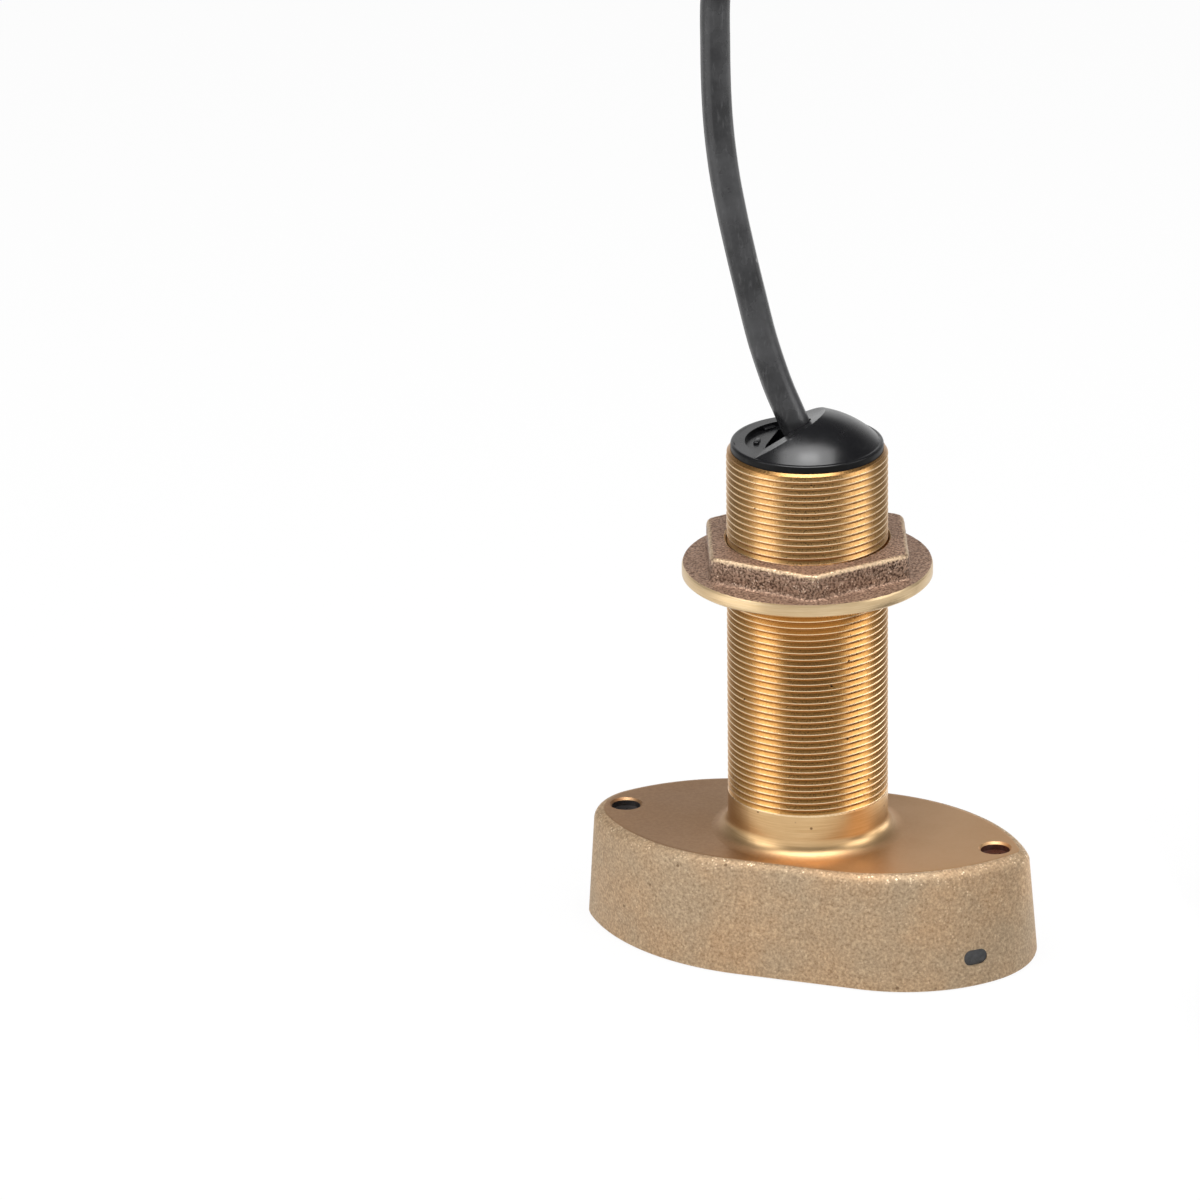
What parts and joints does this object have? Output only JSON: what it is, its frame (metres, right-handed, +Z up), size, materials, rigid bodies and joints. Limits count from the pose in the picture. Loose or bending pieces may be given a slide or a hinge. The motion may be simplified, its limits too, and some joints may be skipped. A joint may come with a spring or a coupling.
{
  "type": "sonar transducer",
  "caption": "A through-hull sonar transducer of cast bronze: teardrop housing, threaded stem with a flanged hull nut, black cable cap, and its cable wound in a hank with a round locking plug.",
  "frame": {"origin": "On the stem's axis, in the plane of the face that looks into the water.", "axes": "+Z runs up the stem into the boat, +X points to the blunt end of the housing, +Y lies across it."},
  "size_m": [0.395, 0.134, 0.3817],
  "materials": {
    "cast_bronze": "satin",
    "nut_bronze": "satin",
    "cap_plastic": "gloss",
    "black_rubber": "matte",
    "window_resin": "satin",
    "piezo_ceramic": "matte",
    "cork_rubber": "matte",
    "lead_insulation": "satin",
    "potting_resin": "satin",
    "cable_jacket": "matte",
    "tie_strap": "matte",
    "plug_plastic": "satin",
    "contact_brass": "polished"
  },
  "bodies": {
    "transducer": {"housing": "cast_bronze", "cable_cap": "cap_plastic", "cable_grommet": "black_rubber", "cap_o_ring": "black_rubber", "acoustic_window": "window_resin", "piezo_disc": "piezo_ceramic", "isolator_cup": "cork_rubber", "signal_lead": "lead_insulation", "ground_lead": "lead_insulation", "thermistor": "window_resin", "thermistor_lead": "lead_insulation", "sensor_window": "window_resin", "potting": "potting_resin", "cable": "cable_jacket", "cable_hank": "cable_jacket", "cable_tail": "cable_jacket", "hank_tie_side": "tie_strap", "hank_tie_end": "tie_strap", "plug_boot": "black_rubber", "plug_shell": "plug_plastic", "plug_insert": "plug_plastic", "contact_pins": "contact_brass", "face_seal": "black_rubber"},
    "nut": {"hull_nut": "nut_bronze"},
    "coupling": {"coupling_ring": "plug_plastic"}
  },
  "joints": [
    {"name": "nut_travel", "type": "slide", "parent": "transducer", "child": "nut", "axis": [0, 0, 1], "range_m": [-0.072, 0.028]},
    {"name": "coupling_turn", "type": "hinge", "parent": "transducer", "child": "coupling", "pos_m": [0.255, 0.04275, 0.07], "axis": [1, 0, 0], "continuous": true}
  ]
}
